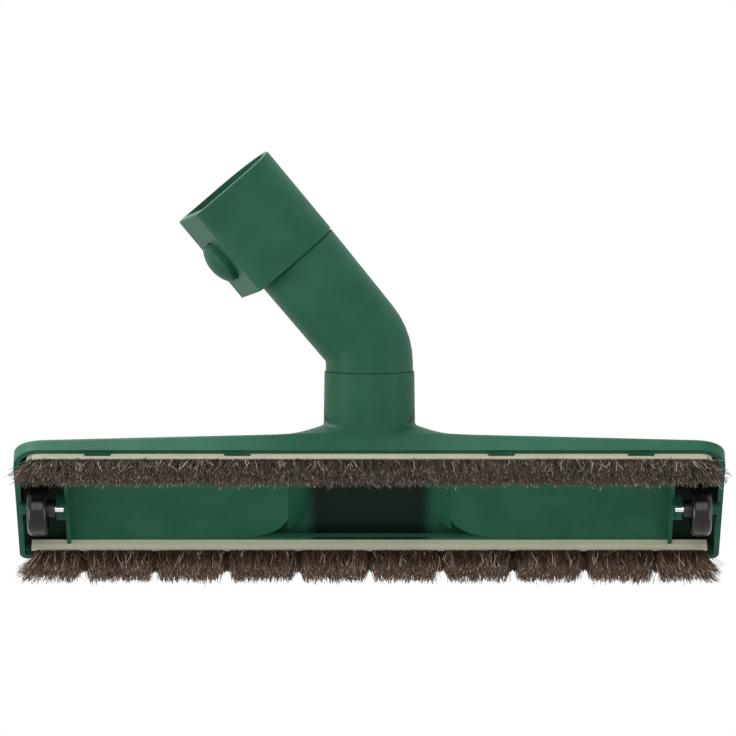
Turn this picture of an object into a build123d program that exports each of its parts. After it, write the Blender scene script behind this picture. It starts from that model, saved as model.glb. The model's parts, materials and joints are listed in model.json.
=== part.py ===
"""Floor brush head for a vacuum cleaner: a flat head with two hair strips and two wheels, and a swivel elbow
that ends in an oval wand socket with a release button.

All sizes are in millimetres. The head is modelled about its own middle, with X along the head, +Y to its
front and Z up from the floor. At the end everything is shifted so that the origin is the bottom centre of
the whole part's box.
"""

import math
import os

from build123d import *

# Head shell
HEAD_LENGTH = 360.0
HEAD_DEPTH = 85.0
REAR_CORNER_RADIUS = 13.0
FRONT_CORNER_RADIUS = 4.0
SHELL_WALL = 2.8
RIM_HEIGHT = 15.5
SIDE_WALL_HEIGHT = 6.5
CROWN_RISE = 13.0
SPINE_RISE = 6.0
SPINE_ROUNDING = 25.0
END_FALL = 2.5
END_FALL_LENGTH = 16.0
TOP_EDGE_RADIUS = 2.5
RUNNING_GAP = 0.3
SEAT_GAP = 0.15

# Flare that carries the neck on the shell
FLARE_REACH = 54.0
FLARE_RISE = 17.5
FLARE_PEAK_SHARE = 0.22
FLARE_FRONT_FALL = 3.5
CROWN_OVERHANG = 10.0
CROWN_STEPS_LONG = 76
CROWN_STEPS_DEEP = 24

# Neck stub
NECK_LEAN = 46.0
NECK_BACK = 1.5
NECK_FOOT_HEIGHT = 20.0
NECK_LENGTH = 64.0
NECK_TOP_RADIUS = 22.9
NECK_FOOT_RADIUS = 24.0
NECK_ROOT_DEPTH = 12.0
NECK_BLEND_RADIUS = 2.5
NECK_BORE_RADIUS = 20.4

# Swivel spigot, its seal and its retaining ring
SPIGOT_LENGTH = 26.0
SPIGOT_WALL = 2.3
SEAL_HEIGHT = 3.0
SEAL_WIDTH = 1.3
RING_THICKNESS = 2.0
RING_GROOVE_DEPTH = 1.1
RING_PROUD = 1.1
RING_GAP_WIDTH = 4.0
RING_DEPTH_BELOW_SEAM = 21.0

# Elbow
SWIVEL_TURN = 5.2
BEND_ANGLE = 39.6
BEND_INNER_RADIUS = 2.0
ELBOW_COLLAR_HEIGHT = 4.0
ELBOW_RADIUS = 22.2
ELBOW_END_RADIUS = 22.9
ELBOW_WALL = 2.6
ELBOW_STRAIGHT = 50.6
ELBOW_GROOVE = 1.2
SOCKET_STUB_LENGTH = 9.5

# Oval wand socket
SOCKET_LENGTH = 50.3
SOCKET_ROUND_RADIUS = 23.1
SOCKET_FLAT_DISTANCE = 30.6
SOCKET_CORNER_RADIUS = 4.0
SOCKET_WALL = 2.6
SOCKET_FLAT_WALL = 4.5
SOCKET_FLOOR_DEPTH = 40.0
SOCKET_TURN = 12.4
SOCKET_EDGE_RADIUS = 0.8

# Release button and its leaf spring
BUTTON_RADIUS = 11.2
BUTTON_RISE = 3.4
BUTTON_DOME_HEIGHT = 3.8
BUTTON_GAP = 0.5
BUTTON_FLANGE_WIDTH = 1.4
BUTTON_FLANGE_THICKNESS = 0.8
BUTTON_POCKET_DEPTH = 2.4
BUTTON_FROM_MOUTH = 28.0
SPRING_THICKNESS = 0.4
SPRING_WIDTH = 6.0
SPRING_LENGTH = 32.0
SPRING_SLOT_DEPTH = 1.1

# Sole plate
SOLE_THICKNESS = 2.0
SOLE_ARCH_EDGE_HEIGHT = 18.6
SOLE_ARCH_RISE = 3.4
SOLE_FLANGE_WIDTH = 1.8
WHEEL_POCKET_LENGTH = 22.0
DUCT_HALF_WIDTH = 41.5
DUCT_REAR = -25.5
DUCT_FLARE_LENGTH = 22.5
DUCT_FLARE_DEPTH = 14.0
DUCT_WALL = 1.6
DUCT_SLOPE_LOW = 24.0
DUCT_SLOPE_HIGH = 38.0
DUCT_TOP_HALF_WIDTH = 27.0

# Brush strips
STRIP_END_ROOM = 3.7
STRIP_WIDTH = 8.6
STRIP_BOTTOM = 12.4
STRIP_TOP = 19.0
STRIP_CORNER_RADIUS = 8.2
STRIP_LEDGE = 0.6
STRIP_LEDGE_HEIGHT = 15.8
HAIR_SLOT_WIDTH = 5.4
HAIR_SLOT_DEPTH = 5.0
CORE_WIRE_RADIUS = 1.0
CORE_WIRE_INSET = 1.0
LUG_WIDTH = 13.0
LUG_REACH = 1.2
LUG_HEIGHT = 2.0
LUG_BELOW_RIM = 1.2
LUG_INNER_SPACING = 133.0
LUG_OUTER_FROM_END = 43.0

# Hair
HAIR_ROOT_WIDTH = 7.4
HAIR_TIP_WIDTH = 13.0
HAIR_SWEEP = 2.4
HAIR_END_INSET = 1.5
HAIR_END_SPLAY = 8.0
TUFT_COUNT = 10
END_TUFT_SHARE = 0.67
TUFT_GAP = 6.0
TUFT_NOTCH_HEIGHT = 6.0

# Wheels
WHEEL_RADIUS = 14.0
WHEEL_WIDTH = 10.2
WHEEL_FROM_END = 11.2
WHEEL_FORWARD = 1.0
TYRE_THICKNESS = 3.2
TYRE_SHOULDER_RADIUS = 2.6
HUB_SIDE_INSET = 0.6
HUB_DISH_DEPTH = 2.4
HUB_RIM_WIDTH = 2.0
HUB_BOSS_RADIUS = 4.4
AXLE_RADIUS = 2.0
AXLE_RUNNING_GAP = 0.08
AXLE_SEAT_GAP = 0.04
AXLE_BOSS_RADIUS = 3.0
AXLE_END_PLAY = 0.7
AXLE_END_CHAMFER = 0.4
FORK_LENGTH = 4.2
FORK_PRONG = 3.8
FORK_MOUTH = 3.5
FORK_LEAD_IN = 8.4
FORK_SNAP_DROP = 1.0
FORK_DROP = 3.0
FORK_RISE = 4.6

# Sizes that follow from the ones above
SIDE_TOP = RIM_HEIGHT + SIDE_WALL_HEIGHT
STRIP_OUTER = HEAD_DEPTH / 2 - SHELL_WALL - SEAT_GAP
STRIP_INNER = STRIP_OUTER - STRIP_WIDTH
STRIP_MIDDLE = (STRIP_OUTER + STRIP_INNER) / 2
SOLE_SEAT_HEIGHT = STRIP_TOP + SEAT_GAP
SOLE_FLANGE_OUTER = STRIP_INNER - SEAT_GAP
SOLE_FLANGE_INNER = SOLE_FLANGE_OUTER - SOLE_FLANGE_WIDTH
STRIP_LENGTH = HEAD_LENGTH - 2 * (SHELL_WALL + STRIP_END_ROOM)
SOLE_HALF_LENGTH = HEAD_LENGTH / 2 - SHELL_WALL - WHEEL_POCKET_LENGTH
WHEEL_FROM_MIDDLE = HEAD_LENGTH / 2 - WHEEL_FROM_END
WHEEL_OUTER_FACE = WHEEL_FROM_MIDDLE + WHEEL_WIDTH / 2
FORK_TIP = SOLE_HALF_LENGTH + FORK_LENGTH
LUG_OUTER_PLACE = HEAD_LENGTH / 2 - LUG_OUTER_FROM_END
LUG_INNER_PLACE = LUG_INNER_SPACING / 2
LUG_PLACES = (-LUG_OUTER_PLACE, -LUG_INNER_PLACE, LUG_INNER_PLACE, LUG_OUTER_PLACE)
AXLE_HEIGHT = WHEEL_RADIUS
HAIR_LENGTH = STRIP_BOTTOM
SPIGOT_RADIUS = NECK_BORE_RADIUS - RUNNING_GAP
SPIGOT_BORE_RADIUS = SPIGOT_RADIUS - SPIGOT_WALL
ELBOW_BORE_RADIUS = ELBOW_RADIUS - ELBOW_WALL
BEND_RADIUS = ELBOW_RADIUS + BEND_INNER_RADIUS
SEAM_DISTANCE = NECK_LENGTH + RUNNING_GAP
RING_OUTER_RADIUS = SPIGOT_RADIUS + RING_PROUD
RING_INNER_RADIUS = SPIGOT_RADIUS - RING_GROOVE_DEPTH
SOCKET_STUB_RADIUS = ELBOW_END_RADIUS - SOCKET_WALL / 2
SOCKET_FLOOR = SOCKET_LENGTH - SOCKET_FLOOR_DEPTH
SOCKET_FLAT_INNER = SOCKET_FLAT_DISTANCE - SOCKET_FLAT_WALL
LONG = 3 * HEAD_LENGTH

lean = math.radians(NECK_LEAN)
NECK = Plane(
    origin=(0, -NECK_BACK, NECK_FOOT_HEIGHT),
    x_dir=(1, 0, 0),
    z_dir=(0, -math.sin(lean), math.cos(lean)),
)
ELBOW = NECK.location * Pos(0, 0, SEAM_DISTANCE) * Rot(0, 0, 180 + SWIVEL_TURN)
BEND_TOP = (
    BEND_RADIUS * (1 - math.cos(math.radians(BEND_ANGLE))),
    0,
    ELBOW_COLLAR_HEIGHT + BEND_RADIUS * math.sin(math.radians(BEND_ANGLE)),
)
TUBE = ELBOW * Pos(*BEND_TOP) * Rot(0, BEND_ANGLE, 0)
SOCKET = TUBE * Pos(0, 0, ELBOW_STRAIGHT) * Rot(0, 0, SOCKET_TURN)
BUTTON = SOCKET * Pos(SOCKET_FLAT_DISTANCE, 0, SOCKET_LENGTH - BUTTON_FROM_MOUTH) * Rot(0, 90, 0)


def block(low, high):
    """A box between two corners."""
    size = [b - a for a, b in zip(low, high)]
    middle = [(a + b) / 2 for a, b in zip(low, high)]
    return Pos(*middle) * Box(*size)


def tube_between(radius, low, high):
    """A round bar along Z from one height to another."""
    return Pos(0, 0, (low + high) / 2) * Cylinder(radius, high - low)


def bar_along_x(radius, low, high):
    """A round bar along X from one place to another."""
    return Pos((low + high) / 2, 0, 0) * Rot(0, 90, 0) * Cylinder(radius, high - low)


def crown_height(x, y):
    """Height of the head's outer top at a place seen from above.

    A crowned arc from front to rear, a spine that climbs from both ends to the middle, a fall over the ends
    and the flare under the neck, added together.
    """
    half = HEAD_DEPTH / 2
    arc_radius = (half**2 + CROWN_RISE**2) / (2 * CROWN_RISE)
    crown = CROWN_RISE - arc_radius + math.sqrt(arc_radius**2 - y**2)
    half_length = HEAD_LENGTH / 2
    spine = SPINE_RISE * (1 - math.hypot(x, SPINE_ROUNDING) / math.hypot(half_length, SPINE_ROUNDING))
    near_end = max(0.0, abs(x) - half_length + END_FALL_LENGTH) / END_FALL_LENGTH
    along = (1 + math.cos(math.pi * min(1.0, abs(x) / FLARE_REACH))) / 2
    share = (y + half) / HEAD_DEPTH
    peak = FLARE_PEAK_SHARE * (1 - FLARE_PEAK_SHARE) ** FLARE_FRONT_FALL
    across = share * max(0.0, 1 - share) ** FLARE_FRONT_FALL / peak
    return SIDE_TOP + crown + spine - END_FALL * near_end**2 + FLARE_RISE * along * across


def crown_surface(inset):
    """The head's top as a surface that reaches past its walls, drawn in by the inset."""
    half = HEAD_DEPTH / 2
    widen = half / (half - inset)
    reach_x = HEAD_LENGTH / 2 + CROWN_OVERHANG
    reach_y = half + CROWN_OVERHANG / 2
    grid = []
    for i in range(CROWN_STEPS_LONG + 1):
        x = -reach_x + 2 * reach_x * i / CROWN_STEPS_LONG
        row = []
        for j in range(CROWN_STEPS_DEEP + 1):
            y = -reach_y + 2 * reach_y * j / CROWN_STEPS_DEEP
            row.append(Vector(x, y / widen, crown_height(x, y) - inset))
        grid.append(row)
    return Face.make_surface_from_array_of_points(grid)


def head_plan(inset):
    """The head seen from above, drawn in by the inset, with wide rear corners and tight front ones."""
    plan = Rectangle(HEAD_LENGTH - 2 * inset, HEAD_DEPTH - 2 * inset)
    plan = fillet(plan.vertices().sort_by(Axis.Y)[:2], REAR_CORNER_RADIUS - inset)
    return fillet(plan.vertices().sort_by(Axis.Y)[-2:], FRONT_CORNER_RADIUS - inset)


def head_form(inset, floor):
    """The solid form of the head, drawn in by the inset on every side but the bottom."""
    plan = head_plan(inset)
    below_top = extrude(crown_surface(inset), LONG, dir=(0, 0, -1))
    return (Pos(0, 0, floor) * extrude(plan, LONG)) & below_top


def top_outline(solid):
    """The edges that run round the head where the side walls meet the top."""
    outline = head_plan(0).face().outer_wire()
    edges = solid.edges().filter_by(GeomType.BSPLINE)
    return edges.filter_by(lambda edge: outline.distance_to(on_plan(edge)) < 0.05)


def on_plan(edge):
    """The middle of an edge, seen from above."""
    middle = edge.position_at(0.5)
    return Vertex(middle.X, middle.Y, 0)


def neck_foot(solid):
    """The edge where the neck stub rises out of the head's top."""
    return solid.edges().filter_by(GeomType.BSPLINE).filter_by(on_neck)


def on_neck(edge):
    """True for an edge whose middle lies on the neck stub's side."""
    from_axis = (edge.position_at(0.5) - NECK.origin).cross(NECK.z_dir).length
    return NECK_TOP_RADIUS - 0.05 < from_axis < NECK_FOOT_RADIUS + 0.05


def strip_lugs():
    """Lugs inside the long walls that hold the two strips up."""
    inner_wall = HEAD_DEPTH / 2 - SHELL_WALL
    bottom = RIM_HEIGHT - LUG_BELOW_RIM
    lugs = []
    for side in (-1, 1):
        near, far = sorted((side * (inner_wall - LUG_REACH), side * (inner_wall + SHELL_WALL / 2)))
        for x in LUG_PLACES:
            low = (x - LUG_WIDTH / 2, near, bottom)
            high = (x + LUG_WIDTH / 2, far, bottom + LUG_HEIGHT)
            lugs.append(block(low, high))
    return lugs


def axle_line(side):
    """Places a shape made about the X axis on the axle line, mirrored for the left end."""
    return Pos(0, WHEEL_FORWARD, AXLE_HEIGHT) * (Rot(0, 0, 0) if side > 0 else Rot(0, 0, 180))


def head_housing():
    """The moulded shell: crowned top, side walls, neck stub, strip lugs and the outer axle bosses."""
    outer = head_form(0, RIM_HEIGHT)
    outer = fillet(top_outline(outer), TOP_EDGE_RADIUS)
    neck = NECK.location * tapered_tube(NECK_FOOT_RADIUS, NECK_TOP_RADIUS, -NECK_ROOT_DEPTH, NECK_LENGTH)
    neck = neck & block((-LONG, -LONG, RIM_HEIGHT), (LONG, LONG, LONG))
    shell = outer + neck
    shell = fillet(neck_foot(shell), NECK_BLEND_RADIUS)
    shell -= head_form(SHELL_WALL, RIM_HEIGHT - 1)
    shell -= NECK.location * tube_between(NECK_BORE_RADIUS, 0, 2 * NECK_LENGTH)
    seal_seat = SPIGOT_RADIUS + SEAL_WIDTH + RUNNING_GAP
    shell -= NECK.location * tube_between(seal_seat, NECK_LENGTH - SEAL_HEIGHT - RUNNING_GAP, 2 * NECK_LENGTH)
    shoulder = SEAM_DISTANCE - RING_DEPTH_BELOW_SEAM + RUNNING_GAP
    shell -= NECK.location * tube_between(RING_OUTER_RADIUS + RUNNING_GAP, 0, shoulder)
    for lug in strip_lugs():
        shell += lug
    wall_middle = HEAD_LENGTH / 2 - SHELL_WALL / 2
    for side in (-1, 1):
        boss = bar_along_x(AXLE_BOSS_RADIUS, WHEEL_OUTER_FACE + AXLE_END_PLAY, wall_middle)
        hole = bar_along_x(AXLE_RADIUS + AXLE_SEAT_GAP, WHEEL_OUTER_FACE, HEAD_LENGTH / 2 - SHELL_WALL)
        shell = shell + axle_line(side) * boss - axle_line(side) * hole
    return shell.solids().sort_by(SortBy.VOLUME)[-1]


def duct_outline(grow):
    """The suction opening seen from above: straight sides that open out to the front in rounded corners."""
    half = DUCT_HALF_WIDTH + grow
    front = SOLE_FLANGE_INNER + min(0.0, grow)
    rear = DUCT_REAR - grow
    flare_start = SOLE_FLANGE_INNER - DUCT_FLARE_DEPTH + grow / 2
    flare_depth = front - flare_start
    mouth = half + DUCT_FLARE_LENGTH
    radii = (DUCT_FLARE_LENGTH, flare_depth)
    right_corner = EllipticalCenterArc((mouth, flare_start), *radii, start_angle=90, arc_size=90)
    left_corner = EllipticalCenterArc((-mouth, flare_start), *radii, start_angle=0, arc_size=90)
    lines = [
        right_corner,
        left_corner,
        Line((mouth, front), (-mouth, front)),
        Line((half, flare_start), (half, rear)),
        Line((half, rear), (-half, rear)),
        Line((-half, rear), (-half, flare_start)),
    ]
    return make_face(lines)


def sole_profile():
    """Section of the sole plate: flat seats over the strips, flanges beside them and an arched roof between."""
    outer = HEAD_DEPTH / 2 - SHELL_WALL - RUNNING_GAP
    low = SOLE_ARCH_EDGE_HEIGHT
    seat = SOLE_SEAT_HEIGHT
    top = seat + SOLE_THICKNESS
    inner = SOLE_FLANGE_INNER
    under = ThreePointArc((0, -inner, low), (0, 0, low + SOLE_ARCH_RISE), (0, inner, low))
    over = ThreePointArc((0, -inner, top), (0, 0, low + SOLE_ARCH_RISE + SOLE_THICKNESS), (0, inner, top))
    front = Polyline(
        (0, inner, low),
        (0, SOLE_FLANGE_OUTER, low),
        (0, SOLE_FLANGE_OUTER, seat),
        (0, outer, seat),
        (0, outer, top),
        (0, inner, top),
    )
    rear = Polyline(
        (0, -inner, low),
        (0, -SOLE_FLANGE_OUTER, low),
        (0, -SOLE_FLANGE_OUTER, seat),
        (0, -outer, seat),
        (0, -outer, top),
        (0, -inner, top),
    )
    return make_face([under, over, front, rear])


def axle_fork(side):
    """Snap fork on a wheel pocket's inner wall, with a mouth to the floor that the axle is pushed through."""
    root = SOLE_HALF_LENGTH - SOLE_THICKNESS / 2
    tip = FORK_TIP
    mouth = FORK_MOUTH / 2
    outer = mouth + FORK_PRONG
    fork = block((root, -outer, -FORK_DROP), (tip, outer, FORK_RISE))
    fork -= bar_along_x(AXLE_RADIUS + AXLE_SEAT_GAP, SOLE_HALF_LENGTH, tip + 1)
    lead_in = FORK_LEAD_IN / 2
    below = -FORK_DROP - 1
    way_in = Polyline(
        (SOLE_HALF_LENGTH, -mouth, 0),
        (SOLE_HALF_LENGTH, mouth, 0),
        (SOLE_HALF_LENGTH, mouth, -FORK_SNAP_DROP),
        (SOLE_HALF_LENGTH, lead_in, -FORK_DROP),
        (SOLE_HALF_LENGTH, lead_in, below),
        (SOLE_HALF_LENGTH, -lead_in, below),
        (SOLE_HALF_LENGTH, -lead_in, -FORK_DROP),
        (SOLE_HALF_LENGTH, -mouth, -FORK_SNAP_DROP),
        close=True,
    )
    fork -= extrude(make_face(way_in), FORK_LENGTH + 1, dir=(1, 0, 0))
    return axle_line(side) * fork


def channel_space():
    """The space under the arched roof of the channel, down to the height of the arch's edges."""
    inner = SOLE_FLANGE_INNER
    low = SOLE_ARCH_EDGE_HEIGHT
    under = ThreePointArc((0, -inner, low), (0, 0, low + SOLE_ARCH_RISE), (0, inner, low))
    section = make_face([under, Line((0, -inner, low), (0, inner, low))])
    return extrude(section, SOLE_HALF_LENGTH, dir=(1, 0, 0), both=True)


def duct_slope(side):
    """Sloping wall that leads one side of the suction opening in towards the neck."""
    foot = DUCT_HALF_WIDTH
    top = DUCT_TOP_HALF_WIDTH
    run = math.hypot(foot - top, DUCT_SLOPE_HIGH - DUCT_SLOPE_LOW)
    across = DUCT_WALL * run / (DUCT_SLOPE_HIGH - DUCT_SLOPE_LOW)
    section = Polyline(
        (side * foot, DUCT_REAR, DUCT_SLOPE_LOW),
        (side * top, DUCT_REAR, DUCT_SLOPE_HIGH),
        (side * (top + across), DUCT_REAR, DUCT_SLOPE_HIGH),
        (side * (foot + DUCT_WALL / 2), DUCT_REAR, DUCT_SLOPE_LOW + DUCT_WALL / 2),
        (side * (foot + DUCT_WALL / 2), DUCT_REAR, DUCT_SLOPE_LOW),
        close=True,
    )
    return extrude(make_face(section), SOLE_FLANGE_INNER - DUCT_REAR, dir=(0, 1, 0))


def sole_plate():
    """Roof of the suction channel, with the duct walls, the wheel pocket walls and the axle forks."""
    room = head_form(SHELL_WALL + RUNNING_GAP, RIM_HEIGHT - 1)
    plate = Pos(-SOLE_HALF_LENGTH, 0, 0) * extrude(sole_profile(), 2 * SOLE_HALF_LENGTH, dir=(1, 0, 0))
    plate = plate & room
    pocket_walls = []
    for side in (-1, 1):
        near, far = sorted((side * (SOLE_HALF_LENGTH - SOLE_THICKNESS), side * SOLE_HALF_LENGTH))
        low = (near, -SOLE_FLANGE_OUTER, RIM_HEIGHT)
        high = (far, SOLE_FLANGE_OUTER, LONG)
        pocket_walls.append(block(low, high) & room)
    roof_height = SOLE_ARCH_EDGE_HEIGHT
    opening = Pos(0, 0, RIM_HEIGHT) * extrude(duct_outline(0), LONG)
    jacket = Pos(0, 0, roof_height) * extrude(duct_outline(DUCT_WALL), LONG)
    air_way = NECK.location * tube_between(NECK_BORE_RADIUS + RUNNING_GAP, 0, NECK_LENGTH)
    air_way = air_way & block((-LONG, -LONG, SOLE_SEAT_HEIGHT + SOLE_THICKNESS), (LONG, LONG, LONG))
    duct = (jacket & room) - air_way - channel_space()
    plate = plate + duct
    for wall in pocket_walls:
        plate += wall
    plate -= opening
    for side in (-1, 1):
        plate += (duct_slope(side) & room) - air_way
        plate += axle_fork(side)
    return plate.solids().sort_by(SortBy.VOLUME)[-1]


def brush_strip(side):
    """Backing strip with its hair slot and with notches for the lugs. Side is 1 for the front, -1 for the rear."""
    half = STRIP_LENGTH / 2
    strip = block((-half, STRIP_INNER, STRIP_BOTTOM), (half, STRIP_OUTER, STRIP_TOP))
    outer_corners = strip.edges().filter_by(Axis.Z).sort_by(Axis.Y)[-2:]
    strip = fillet(outer_corners, STRIP_CORNER_RADIUS)
    strip -= block(
        (-half, STRIP_INNER, STRIP_LEDGE_HEIGHT), (half, STRIP_INNER + STRIP_LEDGE, STRIP_TOP)
    )
    slot = HAIR_SLOT_WIDTH / 2
    strip -= block(
        (-half, STRIP_MIDDLE - slot, STRIP_BOTTOM),
        (half, STRIP_MIDDLE + slot, STRIP_BOTTOM + HAIR_SLOT_DEPTH),
    )
    bottom = RIM_HEIGHT - LUG_BELOW_RIM - SEAT_GAP
    notch_depth = LUG_REACH + SEAT_GAP
    for x in LUG_PLACES:
        reach = LUG_WIDTH / 2 + SEAT_GAP
        low = (x - reach, STRIP_OUTER - notch_depth, bottom)
        high = (x + reach, STRIP_OUTER, bottom + LUG_HEIGHT + 2 * SEAT_GAP)
        strip -= block(low, high)
    return strip if side > 0 else Rot(0, 0, 180) * strip


def core_wire(side):
    """Steel wire in the strip's slot that the hair is folded over."""
    end = STRIP_LENGTH / 2 - HAIR_END_INSET - CORE_WIRE_INSET
    wire = bar_along_x(CORE_WIRE_RADIUS, -end, end)
    return Pos(0, side * STRIP_MIDDLE, wire_height()) * wire


def wire_height():
    """Height of the core wire, half way up the hair slot."""
    return STRIP_BOTTOM + HAIR_SLOT_DEPTH / 2


def hair_section(left, right, height):
    """Section of a bundle at a height: as wide as the roots at the strip, wider and swept outwards below it."""
    fall = 1 - height / HAIR_LENGTH
    width = HAIR_ROOT_WIDTH + (HAIR_TIP_WIDTH - HAIR_ROOT_WIDTH) * fall
    return Pos((left + right) / 2, HAIR_SWEEP * fall, height) * Rectangle(right - left, width)


def hair_bundle(left, right, widen_left, widen_right):
    """One bundle of hair from x = left to right: held in the slot, hanging straight to the notches, then widened
    by the given amounts at the tips, where a negative amount draws the tips in."""
    slot = HAIR_SLOT_WIDTH / 2
    held = block((left, -slot, STRIP_BOTTOM), (right, slot, STRIP_BOTTOM + HAIR_SLOT_DEPTH))
    share = 1 - TUFT_NOTCH_HEIGHT / HAIR_LENGTH
    middle_left = left - max(0.0, widen_left) * share
    middle_right = right + max(0.0, widen_right) * share
    sections = [
        hair_section(left, right, HAIR_LENGTH),
        hair_section(middle_left, middle_right, TUFT_NOTCH_HEIGHT),
        hair_section(left - widen_left, right + widen_right, 0),
    ]
    wire = Pos(0, 0, wire_height()) * bar_along_x(CORE_WIRE_RADIUS, -LONG, LONG)
    return loft(sections, ruled=True) + held - wire


def rear_hair():
    """Unbroken hair of the rear strip."""
    end = STRIP_LENGTH / 2 - HAIR_END_INSET
    bundle = hair_bundle(-end, end, HAIR_END_SPLAY, HAIR_END_SPLAY)
    return [Rot(0, 0, 180) * Pos(0, STRIP_MIDDLE, 0) * bundle]


def front_hair():
    """Hair of the front strip, in tufts with notches between their tips that let coarse dirt in."""
    end = STRIP_LENGTH / 2 - HAIR_END_INSET
    pitch = 2 * end / (TUFT_COUNT - 2 + 2 * END_TUFT_SHARE)
    meet = SEAT_GAP / 2
    draw_in = meet - TUFT_GAP / 2
    tufts = []
    for i in range(TUFT_COUNT):
        first = i == 0
        last = i == TUFT_COUNT - 1
        left = -end if first else (i - TUFT_COUNT / 2) * pitch + meet
        right = end if last else (i + 1 - TUFT_COUNT / 2) * pitch - meet
        bundle = hair_bundle(
            left, right, HAIR_END_SPLAY if first else draw_in, HAIR_END_SPLAY if last else draw_in
        )
        tufts.append(Pos(0, STRIP_MIDDLE, 0) * bundle)
    return tufts


def wheel_tyre(side):
    """Soft tread ring with rounded shoulders."""
    half = WHEEL_WIDTH / 2
    tyre = bar_along_x(WHEEL_RADIUS, -half, half)
    rims = tyre.edges().filter_by(GeomType.CIRCLE)
    tyre = fillet(rims, TYRE_SHOULDER_RADIUS)
    tyre -= bar_along_x(WHEEL_RADIUS - TYRE_THICKNESS, -half - 1, half + 1)
    return axle_line(side) * Pos(WHEEL_FROM_MIDDLE, 0, 0) * tyre


def wheel_hub(side):
    """Wheel body inside the tread: a dished disc with a long boss towards the middle of the head."""
    half = WHEEL_WIDTH / 2 - HUB_SIDE_INSET
    radius = WHEEL_RADIUS - TYRE_THICKNESS
    hub = bar_along_x(radius, -half, half)
    dish = radius - HUB_RIM_WIDTH
    hub -= bar_along_x(dish, half - HUB_DISH_DEPTH, half + 1)
    hub -= bar_along_x(dish, -half - 1, HUB_DISH_DEPTH - half)
    hub += bar_along_x(HUB_BOSS_RADIUS, FORK_TIP + AXLE_END_PLAY - WHEEL_FROM_MIDDLE, half)
    hub -= bar_along_x(AXLE_RADIUS + AXLE_RUNNING_GAP, -WHEEL_WIDTH * 2, WHEEL_WIDTH * 2)
    return axle_line(side) * Pos(WHEEL_FROM_MIDDLE, 0, 0) * hub


def wheel_axle(side):
    """Steel pin from the boss in the end wall to the fork on the pocket's inner wall."""
    low = SOLE_HALF_LENGTH + SEAT_GAP
    high = HEAD_LENGTH / 2 - SHELL_WALL - SEAT_GAP
    pin = bar_along_x(AXLE_RADIUS, low, high)
    pin = chamfer(pin.edges().filter_by(GeomType.CIRCLE), AXLE_END_CHAMFER)
    return axle_line(side) * pin


def bent_round(radius):
    """A round bar through the elbow's bend, from the top of its lower collar."""
    start = Pos(0, 0, ELBOW_COLLAR_HEIGHT) * Circle(radius)
    pivot = Axis((BEND_RADIUS, 0, ELBOW_COLLAR_HEIGHT), (0, 1, 0))
    return revolve(start, pivot, BEND_ANGLE)


def tapered_tube(low_radius, high_radius, low, high):
    """A cone along Z between two heights."""
    return Pos(0, 0, (low + high) / 2) * Cone(low_radius, high_radius, high - low)


def swivel_elbow():
    """The lower part of the bent tube: spigot below, lower collar and bend."""
    elbow = tube_between(ELBOW_RADIUS, 0, ELBOW_COLLAR_HEIGHT) + bent_round(ELBOW_RADIUS)
    elbow += tube_between(SPIGOT_RADIUS, -SPIGOT_LENGTH, 0)
    elbow -= tube_between(SPIGOT_BORE_RADIUS, -SPIGOT_LENGTH - 1, ELBOW_COLLAR_HEIGHT)
    elbow -= bent_round(ELBOW_BORE_RADIUS)
    ring_top = RUNNING_GAP - RING_DEPTH_BELOW_SEAM
    groove_low = ring_top - RING_THICKNESS - 2 * RUNNING_GAP
    groove = tube_between(SPIGOT_RADIUS + 1, groove_low, ring_top)
    groove -= tube_between(RING_INNER_RADIUS - SEAT_GAP, groove_low, ring_top)
    elbow -= groove
    return ELBOW * elbow


def elbow_tube():
    """The straight run above the bend, with the stub that the socket sits on.

    It is one moulding with the elbow. It is a node of its own so that collision leaves its bore open.
    """
    groove_low = ELBOW_STRAIGHT - ELBOW_GROOVE
    end = ELBOW_STRAIGHT + SOCKET_STUB_LENGTH
    tube = tapered_tube(ELBOW_RADIUS, ELBOW_END_RADIUS, 0, groove_low)
    tube += tube_between(SOCKET_STUB_RADIUS, groove_low, end)
    tube -= tube_between(ELBOW_BORE_RADIUS, -1, end + 1)
    return TUBE * tube


def swivel_seal():
    """Felt ring round the spigot, in the seat at the top of the neck."""
    seal = tube_between(SPIGOT_RADIUS + SEAL_WIDTH, -SEAL_HEIGHT - RUNNING_GAP, -RUNNING_GAP)
    seal -= tube_between(SPIGOT_RADIUS + SEAT_GAP, -SEAL_HEIGHT - 1, 0)
    return ELBOW * seal


def retaining_ring():
    """Split ring in the spigot's groove that keeps the elbow in the neck."""
    top = -RING_DEPTH_BELOW_SEAM
    ring = tube_between(RING_OUTER_RADIUS, top - RING_THICKNESS, top)
    ring -= tube_between(RING_INNER_RADIUS, top - RING_THICKNESS - 1, top + 1)
    gap = RING_GAP_WIDTH / 2
    ring -= block((0, -gap, top - RING_THICKNESS - 1), (LONG, gap, top + 1))
    return ELBOW * ring


def socket_outline(wall, flat_wall):
    """Oval section of the socket: a half round, straight sides and a flat end with rounded corners."""
    radius = SOCKET_ROUND_RADIUS - wall
    flat = SOCKET_FLAT_DISTANCE - flat_wall
    corner = SOCKET_CORNER_RADIUS - min(wall, SOCKET_CORNER_RADIUS / 2)
    body = Pos(flat / 2 - radius / 2, 0, 0) * Rectangle(flat + radius, 2 * radius)
    body = fillet(body.vertices().sort_by(Axis.X)[-2:], corner)
    square_end = Pos(-radius / 2, 0, 0) * Rectangle(radius, 2 * radius)
    return body - square_end + Circle(radius)


def spring_slot():
    """The slot for the leaf spring, in the button's own frame, with room for its ends under the wall's face."""
    length = SPRING_LENGTH / 2 + SEAT_GAP
    width = SPRING_WIDTH / 2 + SEAT_GAP
    face = -SOCKET_FLAT_WALL
    return block((-length, -width, face), (length, width, face + SPRING_SLOT_DEPTH))


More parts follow.
